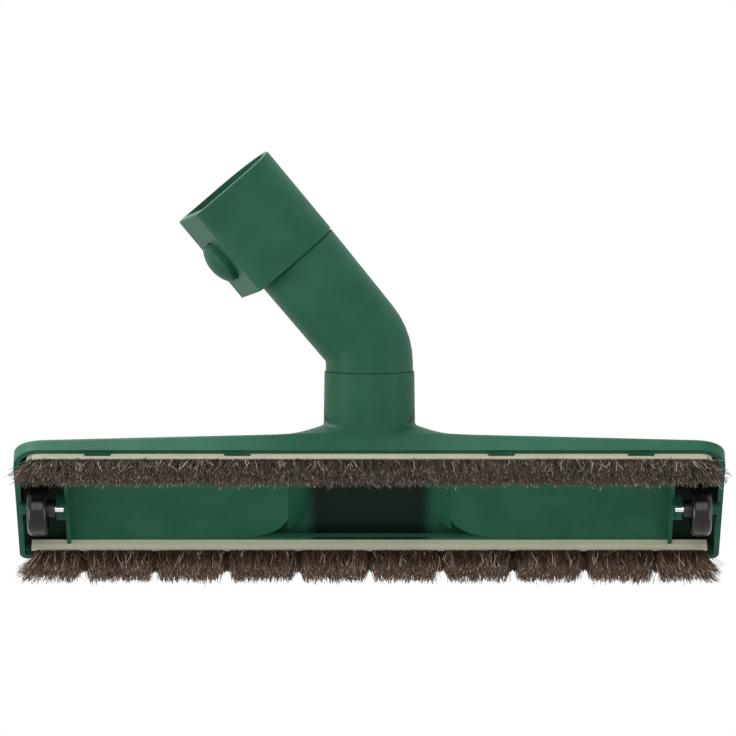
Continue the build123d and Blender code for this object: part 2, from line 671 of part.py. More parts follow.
def socket_moulding():
    """The oval wand socket in one piece, with its button hole, button pocket and spring slot."""
    outer = extrude(socket_outline(0, 0), SOCKET_LENGTH)
    mouth_edges = outer.faces().sort_by(Axis.Z)[-1].edges()
    outer = fillet(mouth_edges, SOCKET_EDGE_RADIUS)
    bore = Pos(0, 0, SOCKET_FLOOR) * extrude(socket_outline(SOCKET_WALL, SOCKET_FLAT_WALL), SOCKET_LENGTH)
    moulding = outer - bore
    moulding -= tube_between(SOCKET_STUB_RADIUS + AXLE_SEAT_GAP, 0, SOCKET_FLOOR)
    moulding = SOCKET * moulding
    moulding -= BUTTON * tube_between(BUTTON_RADIUS + BUTTON_GAP, -SOCKET_FLAT_WALL, SOCKET_FLAT_WALL)
    pocket = BUTTON_RADIUS + BUTTON_FLANGE_WIDTH + BUTTON_GAP
    pocket_top = BUTTON_POCKET_DEPTH - SOCKET_FLAT_WALL
    moulding -= BUTTON * tube_between(pocket, -2 * SOCKET_FLAT_WALL, pocket_top)
    moulding -= BUTTON * spring_slot()
    return moulding.solids().sort_by(SortBy.VOLUME)[-1]


def socket_part(low, high):
    """What one box in the socket's own frame holds of the socket.

    The socket is one moulding. It is three nodes so that collision leaves its bore open.
    """
    part = socket_moulding() & (SOCKET * block(low, high))
    return part.solids().sort_by(SortBy.VOLUME)[-1]


def socket_base():
    """The socket's foot, a ring round the elbow's stub."""
    return socket_part((-LONG, -LONG, -LONG), (LONG, LONG, SOCKET_FLOOR))


def socket_collar():
    """The socket's round back and straight sides, above its floor."""
    return socket_part((-LONG, -LONG, SOCKET_FLOOR), (SOCKET_FLAT_INNER, LONG, LONG))


def socket_face():
    """The socket's flat wall above its floor, with the button hole, the button pocket and the spring slot."""
    return socket_part((SOCKET_FLAT_INNER, -LONG, SOCKET_FLOOR), (LONG, LONG, LONG))


def release_button():
    """Domed push button with an inner flange that keeps it in the socket wall."""
    dome_radius = (BUTTON_RADIUS**2 + BUTTON_DOME_HEIGHT**2) / (2 * BUTTON_DOME_HEIGHT)
    top = BUTTON_RISE + BUTTON_DOME_HEIGHT
    dome = Pos(0, 0, top - dome_radius) * Sphere(dome_radius)
    flange_top = BUTTON_POCKET_DEPTH - SOCKET_FLAT_WALL - SEAT_GAP
    body = tube_between(BUTTON_RADIUS, flange_top, top) & dome
    flange_radius = BUTTON_RADIUS + BUTTON_FLANGE_WIDTH
    flange = tube_between(flange_radius, flange_top - BUTTON_FLANGE_THICKNESS, flange_top)
    return BUTTON * (body + flange)


def button_leaf_spring():
    """Bowed steel strip, held at both ends in the socket wall, that pushes the button out."""
    face = SEAT_GAP - SOCKET_FLAT_WALL
    flange_low = BUTTON_POCKET_DEPTH - SOCKET_FLAT_WALL - SEAT_GAP - BUTTON_FLANGE_THICKNESS
    crest = flange_low - SEAT_GAP - SPRING_THICKNESS
    half = SPRING_LENGTH / 2
    under = ThreePointArc((-half, 0, face), (0, 0, crest), (half, 0, face))
    over = ThreePointArc(
        (-half, 0, face + SPRING_THICKNESS), (0, 0, crest + SPRING_THICKNESS), (half, 0, face + SPRING_THICKNESS)
    )
    ends = [
        Line((-half, 0, face), (-half, 0, face + SPRING_THICKNESS)),
        Line((half, 0, face), (half, 0, face + SPRING_THICKNESS)),
    ]
    strip = extrude(make_face([under, over, *ends]), SPRING_WIDTH / 2, dir=(0, 1, 0), both=True)
    return BUTTON * strip


def build():
    """Every piece of the part by its name, in the head's own frame."""
    pieces = {
        "head_housing": head_housing(),
        "sole_plate": sole_plate(),
        "rear_brush_strip": brush_strip(-1),
        "front_brush_strip": brush_strip(1),
        "rear_core_wire": core_wire(-1),
        "front_core_wire": core_wire(1),
        "rear_bristles": Compound(rear_hair()),
        "front_bristles": Compound(front_hair()),
        "swivel_elbow": swivel_elbow(),
        "elbow_tube": elbow_tube(),
        "swivel_seal": swivel_seal(),
        "retaining_ring": retaining_ring(),
        "socket_base": socket_base(),
        "socket_collar": socket_collar(),
        "socket_face": socket_face(),
        "release_button": release_button(),
        "button_leaf_spring": button_leaf_spring(),
    }
    for name, side in (("left", -1), ("right", 1)):
        pieces[f"{name}_wheel_tyre"] = wheel_tyre(side)
        pieces[f"{name}_wheel_hub"] = wheel_hub(side)
        pieces[f"{name}_wheel_axle"] = wheel_axle(side)
    return pieces


def main():
    pieces = build()
    boxes = [piece.bounding_box() for piece in pieces.values()]
    rear = min(box.min.Y for box in boxes)
    front = max(box.max.Y for box in boxes)
    to_middle = Pos(0, -(rear + front) / 2, 0)
    os.makedirs("parts", exist_ok=True)
    for name, piece in pieces.items():
        export_step(to_middle * piece, f"parts/{name}.step")
    print("head middle at y =", round(-(rear + front) / 2, 4))
    for name, place in (("neck", NECK.location), ("elbow", ELBOW), ("socket", SOCKET), ("button", BUTTON)):
        moved = to_middle * place
        print(name, moved.position, "z axis", Plane(moved).z_dir, "x axis", Plane(moved).x_dir)


if __name__ == "__main__":
    main()
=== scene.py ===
# %% [markdown]
# # A vacuum floor brush head
#
# The real object is a wide, flat head of dark green moulded plastic. Underneath it has two strips
# of hair and two small black wheels, and on top a bent tube that turns in the neck and ends in an
# oval socket with a release button. The hard pieces are already exact solids, so they are loaded as
# a fixed frame and get their finishes here. Two things can't stay solids: the hair, which is grown
# as strands, and the leaf spring behind the button, which has to bend.

# %% Load the fixed frame
import json
import math

import bmesh
import bpy
import numpy as np
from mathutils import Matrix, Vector


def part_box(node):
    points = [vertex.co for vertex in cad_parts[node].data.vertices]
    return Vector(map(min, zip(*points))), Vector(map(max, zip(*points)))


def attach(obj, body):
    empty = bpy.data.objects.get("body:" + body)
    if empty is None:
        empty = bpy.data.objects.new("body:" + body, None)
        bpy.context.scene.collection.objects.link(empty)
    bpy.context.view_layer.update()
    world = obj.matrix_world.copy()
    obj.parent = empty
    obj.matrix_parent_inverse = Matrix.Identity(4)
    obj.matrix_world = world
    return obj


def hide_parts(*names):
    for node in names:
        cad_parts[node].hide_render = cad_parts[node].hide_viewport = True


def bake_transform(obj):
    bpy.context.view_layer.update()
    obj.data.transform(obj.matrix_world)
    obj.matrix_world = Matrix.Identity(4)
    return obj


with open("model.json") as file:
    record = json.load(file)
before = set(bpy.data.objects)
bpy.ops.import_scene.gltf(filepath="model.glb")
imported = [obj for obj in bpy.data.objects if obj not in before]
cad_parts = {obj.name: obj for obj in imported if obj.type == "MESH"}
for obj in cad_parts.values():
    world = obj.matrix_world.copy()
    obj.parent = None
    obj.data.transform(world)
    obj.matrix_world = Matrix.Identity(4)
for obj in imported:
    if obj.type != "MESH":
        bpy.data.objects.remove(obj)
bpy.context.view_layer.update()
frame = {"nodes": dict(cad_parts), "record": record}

nodes = frame["nodes"]
MM = 0.001

# %% [markdown]
# ## Places that the rest of the lesson needs
#
# The hair and the wheels' parting line are placed from the solids, so they follow the part if it
# changes. The strips give the line of the hair, a tyre gives the wheels' middle plane, and the height
# of the strips' lower face is where the hair comes out.

# %% Measure the solids
def span(node):
    """Lowest and highest corner of a solid as two arrays of three numbers, in metres."""
    low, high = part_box(node)
    return np.array(low), np.array(high)


rear_low, rear_high = span("rear_brush_strip")
front_low, front_high = span("front_brush_strip")
head_low, _ = span("head_housing")
tyre_low, tyre_high = span("right_wheel_tyre")

ROOT_HEIGHT = float(rear_low[2])
REAR_LINE = float(rear_low[1] + rear_high[1]) / 2
FRONT_LINE = float(front_low[1] + front_high[1]) / 2
WHEEL_PLANE = float(tyre_low[0] + tyre_high[0]) / 2
print("hair lines:", REAR_LINE, FRONT_LINE, "root height:", ROOT_HEIGHT)
print("wheel plane:", WHEEL_PLANE)

# %% [markdown]
# ## Shader maths as Python
#
# A node tree is hard to read as a list of links. A small class wraps an output socket and overloads
# the operators, so that a mask reads as a line of arithmetic. All other nodes come from one method,
# which sets a node's settings first and its sockets after that. The same method serves the materials
# and the world.

# %% A socket that can be used in expressions
# A Mix node has one set of sockets per data type under the same names, so its colours go by place.
MIX_SHARE = 0
MIX_FIRST = 6
MIX_SECOND = 7
MIX_RESULT = 2


class Wire:
    """An output socket of a graph. Arithmetic on it adds Math nodes to the same tree."""

    def __init__(self, graph, socket):
        self.graph = graph
        self.socket = socket

    def math(self, operation, *values):
        sockets = dict(enumerate(values))
        return self.graph.node("ShaderNodeMath", {"operation": operation}, sockets)["Value"]

    def __add__(self, other):
        return self.math("ADD", self, other)

    def __radd__(self, other):
        return self.math("ADD", other, self)

    def __sub__(self, other):
        return self.math("SUBTRACT", self, other)

    def __rsub__(self, other):
        return self.math("SUBTRACT", other, self)

    def __mul__(self, other):
        return self.math("MULTIPLY", self, other)

    def __rmul__(self, other):
        return self.math("MULTIPLY", other, self)

    def __abs__(self):
        return self.math("ABSOLUTE", self)

    def larger(self, other):
        return self.math("MAXIMUM", self, other)

    def step(self, low, high):
        """0 below low, 1 above high, and a smooth rise between the two."""
        settings = {"interpolation_type": "SMOOTHSTEP"}
        sockets = {"Value": self, "From Min": low, "From Max": high}
        return self.graph.node("ShaderNodeMapRange", settings, sockets)["Result"]


class Outputs:
    """The outputs of one node, taken by name or by place."""

    def __init__(self, graph, node):
        self.graph = graph
        self.node = node

    def __getitem__(self, name):
        return Wire(self.graph, self.node.outputs[name])


class Graph:
    """The node tree of a material or a world, emptied and built up again node by node."""

    def __init__(self, owner):
        owner.use_nodes = True
        self.tree = owner.node_tree
        self.tree.nodes.clear()

    def node(self, kind, settings=None, sockets=None):
        """Adds a node of that kind, applies its settings, then its socket values or links."""
        made = self.tree.nodes.new(kind)
        for name, value in (settings or {}).items():
            if name == "stops":
                self.ramp(made.color_ramp, value)
            else:
                setattr(made, name, value)
        for name, value in (sockets or {}).items():
            if isinstance(value, Wire):
                self.tree.links.new(value.socket, made.inputs[name])
            else:
                made.inputs[name].default_value = value
        return Outputs(self, made)

    @staticmethod
    def ramp(ramp, stops):
        """Sets a colour ramp's stops, given as (position, colour) pairs."""
        while len(ramp.elements) < len(stops):
            ramp.elements.new(1.0)
        for element, (position, colour) in zip(ramp.elements, stops):
            element.position = position
            element.color = colour


class Finish(Graph):
    """A material under construction: one Principled shader and the nodes that feed it."""

    def __init__(self, name):
        self.material = bpy.data.materials.new(name)
        super().__init__(self.material)

    def place(self):
        """Object coordinates, which are metres in the row's own frame."""
        return self.node("ShaderNodeTexCoord")["Object"]

    def axis(self, name):
        """One object coordinate as a number in metres."""
        return self.node("ShaderNodeSeparateXYZ", None, {"Vector": self.place()})[name]

    def facing(self, name):
        """One part of the direction that a face looks in, in the row's own frame."""
        normal = self.node("ShaderNodeTexCoord")["Normal"]
        return self.node("ShaderNodeSeparateXYZ", None, {"Vector": normal})[name]

    def stretched(self, scale):
        """Object coordinates stretched by three factors."""
        sockets = {"Vector": self.place(), "Scale": scale}
        return self.node("ShaderNodeMapping", None, sockets)["Vector"]

    def noise(self, size, detail, roughness, vector=None):
        """Fractal noise about 0.5, with features of about that size in metres."""
        sockets = {
            "Vector": vector or self.place(),
            "Scale": 1.0 / size,
            "Detail": detail,
            "Roughness": roughness,
        }
        return self.node("ShaderNodeTexNoise", None, sockets)["Fac"]

    def mix(self, share, first, second):
        """A colour between two colours."""
        settings = {"data_type": "RGBA"}
        sockets = {MIX_SHARE: share, MIX_FIRST: first, MIX_SECOND: second}
        return self.node("ShaderNodeMix", settings, sockets)[MIX_RESULT]

    def bump(self, height, depth):
        """A normal from a height between 0 and 1 that stands for that depth in metres."""
        sockets = {"Height": height, "Distance": depth, "Strength": 1.0}
        return self.node("ShaderNodeBump", None, sockets)["Normal"]

    def close(self, **sockets):
        """Ends the finish with a Principled shader. Underscores stand for spaces in socket names."""
        named = {name.replace("_", " "): value for name, value in sockets.items()}
        shader = self.node("ShaderNodeBsdfPrincipled", None, named)
        self.node("ShaderNodeOutputMaterial", None, {"Surface": shader["BSDF"]})
        return self.material


def rgb(red, green, blue):
    """A linear colour from 8-bit display values."""
    def linear(value):
        share = value / 255.0
        return share / 12.92 if share <= 0.04045 else ((share + 0.055) / 1.055) ** 2.4
    return (linear(red), linear(green), linear(blue), 1.0)


# %% [markdown]
# ## Green moulded plastic
#
# The head, the sole, the tube, the socket and the button are one dark green plastic, moulded in a
# tool with a fine spark grain, so it has soft, wide highlights. The grain is a bump a few thousandths
# of a millimetre deep. A slow mottle in colour and gloss keeps large faces from looking like paint,
# and the lower rim is scuffed along its length, because it rubs on skirting boards. Faces that look
# down inside the air way and over the wheel pockets are painted nearly black, as painted shade for
# these deep hollows.

# %% Green plastic
GREEN_DARK = rgb(35, 87, 65)
GREEN_PALE = rgb(44, 95, 73)
SCUFF_GREEN = rgb(96, 138, 116)
# Painted shade: a near-black colour for the deep hollows of the air way and the wheel pockets.
PAINTED_SHADE_BLACK = rgb(9, 14, 11)
NOISE_MEAN = 0.5
GRAIN_SIZE = 0.45 * MM
GRAIN_DEPTH = 0.006 * MM
MOTTLE_SIZE = 22.0 * MM
MOTTLE_STEP = (0.3, 0.7)
SCUFF_STRETCH = (30.0, 700.0, 700.0)
SCUFF_STEP = (0.58, 0.72)
SCUFF_SHARE = 0.35
RIM_HEIGHT = float(head_low[2])
RIM_BAND = 5.0 * MM
GREEN_ROUGHNESS = 0.48
MOTTLE_ROUGHNESS = 0.12
GRAIN_ROUGHNESS = 0.08
SCUFF_ROUGHNESS = 0.15

# Where the painted shade lies: how far each edge of it fades, and how far down a face must look.
HEAD_REAR = float(rear_low[1])
HEAD_FRONT = float(front_high[1])
DEPTH_FADE = 4.0 * MM
DUCT_HALF_WIDTH = 26.0 * MM
DUCT_FADE = 8.0 * MM
POCKET_INNER = 155.5 * MM
POCKET_FADE = 1.0 * MM
PAINTED_SHADE_HEIGHT = 16.5 * MM
HEIGHT_FADE = 2.0 * MM
DOWN_STEP = (0.0, 0.15)
PAINTED_SHADE_SHARE = 0.9


def painted_shade_inside(f):
    """Painted shade mask: 1 on faces of the head's hollow that look down, over the air way and the
    wheels.
    """
    from_middle = abs(f.axis("X"))
    air_way = 1 - from_middle.step(DUCT_HALF_WIDTH, DUCT_HALF_WIDTH + DUCT_FADE)
    pockets = from_middle.step(POCKET_INNER, POCKET_INNER + POCKET_FADE)
    high = f.axis("Z").step(PAINTED_SHADE_HEIGHT, PAINTED_SHADE_HEIGHT + HEIGHT_FADE)
    depth = f.axis("Y")
    past_rear = depth.step(HEAD_REAR, HEAD_REAR + DEPTH_FADE)
    before_front = 1 - depth.step(HEAD_FRONT - DEPTH_FADE, HEAD_FRONT)
    looks_down = (-1 * f.facing("Z")).step(*DOWN_STEP)
    return (air_way + pockets) * high * past_rear * before_front * looks_down


def green_plastic():
    f = Finish("green_plastic")
    mottle = f.noise(MOTTLE_SIZE, detail=3.0, roughness=0.6)
    grain = f.noise(GRAIN_SIZE, detail=2.0, roughness=0.6)
    streaks = f.noise(1.0, detail=3.0, roughness=0.6, vector=f.stretched(SCUFF_STRETCH))
    near_rim = 1 - f.axis("Z").step(RIM_HEIGHT, RIM_HEIGHT + RIM_BAND)
    scuff = streaks.step(*SCUFF_STEP) * near_rim
    deep = f.mix(mottle.step(*MOTTLE_STEP), GREEN_DARK, GREEN_PALE)
    scuffed = f.mix(scuff * SCUFF_SHARE, deep, SCUFF_GREEN)
    # Painted shade: faces that look down in the air way and the wheel pockets turn nearly black.
    scuffed_with_painted_shade = f.mix(painted_shade_inside(f) * PAINTED_SHADE_SHARE, scuffed, PAINTED_SHADE_BLACK)
    uneven = (mottle - NOISE_MEAN) * MOTTLE_ROUGHNESS + (grain - NOISE_MEAN) * GRAIN_ROUGHNESS
    return f.close(
        Base_Color=scuffed_with_painted_shade,
        Roughness=GREEN_ROUGHNESS + uneven + scuff * SCUFF_ROUGHNESS,
        Normal=f.bump(grain, GRAIN_DEPTH),
        Specular_IOR_Level=0.12,
    )


GREEN = green_plastic()
print("made", GREEN.name, "with", len(GREEN.node_tree.nodes), "nodes")

# %% [markdown]
# ## Beige strips
#
# The hair is clamped in two pale plastic strips. They are duller than the head, and dust from the
# hair stains them where it comes out, so the colour turns brown towards the lower face and in a few
# long patches.

# %% Beige plastic
BEIGE_DARK = rgb(228, 225, 200)
BEIGE_PALE = rgb(232, 229, 206)
STAIN_BROWN = rgb(150, 136, 106)
STAIN_STRETCH = (60.0, 260.0, 260.0)
STAIN_STEP = (0.45, 0.75)
PATCH_STAIN = 0.16
ROOT_STAIN = 0.2
ROOT_BAND = 1.6 * MM
SPECK_SIZE = 0.9 * MM
SPECK_DEPTH = 0.02 * MM
SPECK_STEP = (0.35, 0.65)
BEIGE_ROUGHNESS = 0.55
PATCH_ROUGHNESS = 0.2


def beige_plastic():
    f = Finish("beige_plastic")
    patches = f.noise(1.0, detail=4.0, roughness=0.65, vector=f.stretched(STAIN_STRETCH))
    specks = f.noise(SPECK_SIZE, detail=2.0, roughness=0.6)
    at_root = 1 - f.axis("Z").step(ROOT_HEIGHT, ROOT_HEIGHT + ROOT_BAND)
    stain = patches.step(*STAIN_STEP) * PATCH_STAIN + at_root * ROOT_STAIN
    clean = f.mix(specks.step(*SPECK_STEP), BEIGE_DARK, BEIGE_PALE)
    return f.close(
        Base_Color=f.mix(stain, clean, STAIN_BROWN),
        Roughness=BEIGE_ROUGHNESS + (patches - NOISE_MEAN) * PATCH_ROUGHNESS,
        Normal=f.bump(specks, SPECK_DEPTH),
    )


BEIGE = beige_plastic()
print("made", BEIGE.name, "with", len(BEIGE.node_tree.nodes), "nodes")

# %% [markdown]
# ## Wheels and pins
#
# Each wheel is a black hub in a softer black tread. The tread was moulded in two halves, so a fine
# line runs round its middle, and dust dulls it in patches. The pins are bright drawn steel: lines
# that run round the pin come from noise that is squeezed along it. The ring in the swivel's seam is
# grey felt, which hardly shows.

# %% Black tread, black plastic, steel and felt
DUST_STEP = (0.5, 0.8)
PARTING_EDGE = 0.05 * MM
PARTING_FADE = 0.25 * MM
PARTING_DEPTH = 0.04 * MM
DRAWN_STRETCH = (9000.0, 200.0, 200.0)


def black_tread():
    f = Finish("black_tread")
    dust = f.noise(3.0 * MM, detail=3.0, roughness=0.6)
    grain = f.noise(0.25 * MM, detail=2.0, roughness=0.5)
    from_parting = abs(abs(f.axis("X")) - WHEEL_PLANE)
    parting = 1 - from_parting.step(PARTING_EDGE, PARTING_EDGE + PARTING_FADE)
    return f.close(
        Base_Color=f.mix(dust.step(*DUST_STEP) * 0.5, rgb(18, 17, 18), rgb(40, 38, 38)),
        Roughness=0.16 + dust * 0.12 + parting * 0.1,
        Normal=f.bump(grain * 0.1 + parting, PARTING_DEPTH),
        Coat_Weight=0.25,
        Coat_Roughness=0.12,
        Specular_IOR_Level=0.2,
    )


def black_plastic():
    f = Finish("black_plastic")
    grain = f.noise(0.4 * MM, detail=2.0, roughness=0.6)
    dust = f.noise(4.0 * MM, detail=3.0, roughness=0.6)
    return f.close(
        Base_Color=f.mix(dust.step(*DUST_STEP) * 0.4, rgb(20, 20, 21), rgb(44, 43, 42)),
        Roughness=0.36 + dust * 0.2,
        Normal=f.bump(grain, 0.01 * MM),
    )


def bright_steel():
    f = Finish("bright_steel")
    lines = f.noise(1.0, detail=3.0, roughness=0.7, vector=f.stretched(DRAWN_STRETCH))
    return f.close(
        Base_Color=f.mix(lines, rgb(206, 208, 210), rgb(226, 227, 228)),
        Metallic=1.0,
        Roughness=0.08 + lines * 0.14,
        Normal=f.bump(lines, 0.004 * MM),
    )


def grey_felt():
    f = Finish("grey_felt")
    fibres = f.noise(0.5 * MM, detail=4.0, roughness=0.7)
    return f.close(
        Base_Color=f.mix(fibres, rgb(60, 60, 60), rgb(120, 118, 114)),
        Roughness=0.95,
        Normal=f.bump(fibres, 0.2 * MM),
    )


TREAD = black_tread()
BLACK = black_plastic()
STEEL = bright_steel()
FELT = grey_felt()

# %% Give every solid its finish
FINISHES = {
    "green_plastic": GREEN,
    "beige_plastic": BEIGE,
    "black_tread": TREAD,
    "black_plastic": BLACK,
    "bright_steel": STEEL,
    "grey_felt": FELT,
}
for part in frame["record"]["subparts"]:
    finish = FINISHES.get(part["material_slot"])
    if finish:
        mesh = nodes[part["node"]].data
        mesh.materials.clear()
        mesh.materials.append(finish)
print("finished", sum(len(node.data.materials) > 0 for node in nodes.values()), "solids")

# %% [markdown]
# ## Hair finish
#
# The hair is dark brown horse hair with paler and redder strands mixed in. Every strand carries its
# own random shade as an attribute, and a second one that runs from its root to its tip. Dust from the
# strip stains the root, and worn tips are paler.

# %% Brown hair
DARK_UP_TO = 0.55
MIDDLE_FROM = 0.72
MIDDLE_UP_TO = 0.93
PALE_FROM = 0.97
TIP_STEP = (0.6, 1.0)
TIP_PALENESS = 0.1
ROOT_STEP = (0.0, 0.35)
ROOT_DUST = 0.5


def brown_hair(name, dark, middle, pale, root_stain):
    """A hair finish: colours for most strands, some and a few strays, and a stain at the root."""
    f = Finish(name)
    shade = f.node("ShaderNodeAttribute", {"attribute_name": "shade"})["Fac"]
    along = f.node("ShaderNodeAttribute", {"attribute_name": "along"})["Fac"]
    stops = [
        (0.0, dark),
        (DARK_UP_TO, dark),
        (MIDDLE_FROM, middle),
        (MIDDLE_UP_TO, middle),
        (PALE_FROM, pale),
    ]
    own = f.node("ShaderNodeValToRGB", {"stops": stops}, {"Fac": shade})["Color"]
    tip = f.mix(along.step(*TIP_STEP) * TIP_PALENESS, own, pale)
    root = f.mix((1 - along.step(*ROOT_STEP)) * ROOT_DUST, tip, root_stain)
    return f.close(Base_Color=root, Roughness=0.5 + shade * 0.15, Specular_IOR_Level=0.35)


REAR_HAIR = brown_hair(
    "rear_hair",
    dark=rgb(39, 30, 24),
    middle=rgb(96, 77, 64),
    pale=rgb(200, 184, 166),
    root_stain=rgb(58, 45, 32),
)
FRONT_HAIR = brown_hair(
    "front_hair",
    dark=rgb(50, 34, 26),
    middle=rgb(116, 85, 65),
    pale=rgb(206, 184, 162),
    root_stain=rgb(92, 70, 44),
)
print("hair finishes:", REAR_HAIR.name, "and", FRONT_HAIR.name)

# %% [markdown]
# ## Growing the strands
#
# A strand is a thin three-sided prism with three rings, so it has only fourteen triangles. All strands
# are worked out at once as arrays: a root in the strip's slot, a tip near the floor that leans with
# its place in the bundle and outwards with the wear of use, and a bend between them. Coarse hair is
# never cut evenly, so a share of the strands ends early and a few strays stick out. Lean along the
# strip grows with the square or the cube of the way down, which keeps the roots together and opens
# the notches only at the tips.

# %% Strands as arrays
RING_SHARES = np.array([0.0, 0.5, 1.0])
SIDES = 3
STRAND_RADIUS = 0.19 * MM
TIP_RADIUS = 0.15 * MM
ROOT_SUNK = 0.4 * MM
SLOT_HALF_WIDTH = 3.3 * MM
TIP_SPREAD = 3.0 * MM
SWEEP = 2.4 * MM
CLUMP_LENGTH = 1.0 * MM
CLUMP_ROWS = 6
CLUMP_LEAN = 0.7 * MM
CLUMP_RAGGEDNESS = 0.3 * MM
LEAN = 1.0 * MM
LEAN_ACROSS = 0.6
SHORT_LEAN = 0.4
BEND = 1.1 * MM * np.array([1.0, 0.7, 0.0])
TIP_RAGGEDNESS = 0.45 * MM
SHORT_SHARE = 0.65
SHORT_BY = 9.0 * MM
STRAY_SHARE = 0.035
STRAY_LEAN = 3.0 * MM
NOTCH_SIDE = 0.35
# Painted shade between the tufts: the shade of hair over a notch is scaled down by this factor.
NOTCH_PAINTED_SHADE = 0.5
END_SPLAY = 9.5 * MM
END_SPLAY_LENGTH = 14.0 * MM
ALONG_STRIP = np.array([1.0, 0.0, 0.0])


def strand_curves(root_x, splay_x, notch_x, lowest, line_y, outwards, rng):
    """Points of every strand at the ring shares t, and its shade.

    The splay grows with t^2, the lean from a notch with t^3, and a parabola adds the bend. Hair sticks
    together, so strands with roots in the same small cell share most of their lean. Hair over a notch
    is painted darker as painted shade between the tufts, and stands mostly on the strip's outer side.
    """
    count = len(root_x)
    across = rng.uniform(-1.0, 1.0, count)
    over_notch = lowest > 0.0
    on_outer_side = (NOTCH_SIDE + (1.0 - NOTCH_SIDE) * across) * outwards
    across = np.where(over_notch, on_outer_side, across)
    row = np.minimum((across + 1.0) / 2.0 * CLUMP_ROWS, CLUMP_ROWS - 1).astype(int)
    clump = ((root_x - root_x.min()) / CLUMP_LENGTH).astype(int) * CLUMP_ROWS + row
    clump_lean = rng.normal(0.0, CLUMP_LEAN, (clump.max() + 1, 2))[clump]
    clump_tip = np.abs(rng.normal(0.0, CLUMP_RAGGEDNESS, clump.max() + 1))[clump]
    stray = rng.random(count) < STRAY_SHARE
    lean = np.where(stray, STRAY_LEAN, LEAN)
    short = np.where(rng.random(count) < SHORT_SHARE, rng.random(count) * SHORT_BY, 0.0)
    ragged = np.abs(rng.normal(0.0, TIP_RAGGEDNESS, count))
    tip_z = ragged + clump_tip + np.maximum(short, lowest)
    length = 1.0 - tip_z / ROOT_HEIGHT

    root_y = line_y + across * SLOT_HALF_WIDTH
    root = np.stack([root_x, root_y, np.full(count, ROOT_HEIGHT + ROOT_SUNK)], axis=1)
    sideways = SHORT_LEAN + (1.0 - SHORT_LEAN) * length
    reach_x = clump_lean[:, 0] + rng.normal(0.0, 1.0, count) * lean
    reach_y = across * TIP_SPREAD + outwards * SWEEP + clump_lean[:, 1]
    reach_y = reach_y + rng.normal(0.0, LEAN_ACROSS, count) * lean
    reach = np.stack([reach_x * sideways, reach_y * sideways, -root[:, 2] * length], axis=1)
    splay = (splay_x * length)[:, None] * ALONG_STRIP
    notch = (notch_x * length)[:, None] * ALONG_STRIP
    bend = rng.normal(0.0, 1.0, (count, 3)) * BEND
    t = RING_SHARES[None, :, None]
    points = root[:, None] + reach[:, None] * t + splay[:, None] * t**2 + notch[:, None] * t**3
    points = points + bend[:, None] * 4.0 * t * (1.0 - t)
    # Hair over a notch is painted darker, as painted shade between the tufts.
    shade = np.where(stray, 1.0, rng.random(count)) * np.where(over_notch, NOTCH_PAINTED_SHADE, 1.0)
    return points, shade


def strand_mesh(name, points, shade, rng, finish):
    """One mesh of prisms: each ring is a small triangle round its point, turned at random."""
    count, rings, _ = points.shape
    turn = rng.uniform(0.0, 2.0 * math.pi, (count, 1, 1))
    angle = turn + np.arange(SIDES)[None, None] * 2.0 * math.pi / SIDES
    radius = STRAND_RADIUS + (TIP_RADIUS - STRAND_RADIUS) * RING_SHARES[None, :, None] ** 2
    flat = np.zeros_like(angle * radius)
    offset = np.stack([np.cos(angle) * radius, np.sin(angle) * radius, flat], axis=3)
    places = (points[:, :, None] + offset).reshape(-1, 3)

    ring = np.arange(rings - 1)[:, None] * SIDES
    side = np.arange(SIDES)[None]
    after = (side + 1) % SIDES
    below = ring + SIDES
    quads = np.stack([ring + side, below + side, below + after, ring + after], axis=2)
    quads = quads.reshape(-1, 4)
    last = (rings - 1) * SIDES
    caps = np.array([[0, 1, 2], [last + 2, last + 1, last]])
    first = (np.arange(count) * rings * SIDES)[:, None]
    corners = np.concatenate([quads.reshape(1, -1) + first, caps.reshape(1, -1) + first], axis=1)
    sizes = np.concatenate([np.full(len(quads), 4), np.full(len(caps), 3)])
    sizes = np.tile(sizes, count)
    starts = np.concatenate([[0], np.cumsum(sizes)[:-1]])

    mesh = bpy.data.meshes.new(name)
    mesh.vertices.add(len(places))
    mesh.vertices.foreach_set("co", places.astype(np.float32).ravel())
    mesh.loops.add(corners.size)
    mesh.loops.foreach_set("vertex_index", corners.astype(np.int32).ravel())
    mesh.polygons.add(len(sizes))
    mesh.polygons.foreach_set("loop_start", starts.astype(np.int32))
    mesh.polygons.foreach_set("use_smooth", np.ones(len(sizes), dtype=bool))
    mesh.update(calc_edges=True)
    add_number(mesh, "shade", np.repeat(shade, rings * SIDES))
    add_number(mesh, "along", np.tile(np.repeat(RING_SHARES, SIDES), count))
    mesh.materials.append(finish)
    mesh.validate()
    return show(name, mesh)


def add_number(mesh, name, values):
    """Stores one number per vertex as a named attribute."""
    attribute = mesh.attributes.new(name, "FLOAT", "POINT")
    attribute.data.foreach_set("value", values.astype(np.float32))


def show(name, data):
    """An object for that mesh, camera or lamp, linked into the scene."""
    thing = bpy.data.objects.new(name, data)
    bpy.context.scene.collection.objects.link(thing)
    return thing


def end_lean(x, reach):
    """How far hair leans out near a strip's ends: from 0 inside to the full splay at the end."""
    share = np.clip((np.abs(x) - (reach - END_SPLAY_LENGTH)) / END_SPLAY_LENGTH, 0.0, 1.0)
    return np.sign(x) * END_SPLAY * share**2


# %% [markdown]
# ## Dark cores
#
# Light would show between the strands. So each bundle gets a core: a rounded block, narrower than the
# hair, that is worked out as one closed surface. Its section is a superellipse that is carried down
# from the strip, widening and leaning outwards with the hair.

# %% Core blocks
CORE_LEVELS = 6
CORE_SIDES = 32
CORE_SUNK = 0.3 * MM
CORE_TIP_HEIGHT = 3.4 * MM
CORE_HALF_WIDTH = 2.8 * MM
CORE_WIDENING = 0.4
CORE_SHORTENING = 0.12
CORE_SWEEP = 0.6 * SWEEP
CORE_SQUARENESS = 6.0
CORE_SHADE = 0.05
CORE_ALONG = 0.1


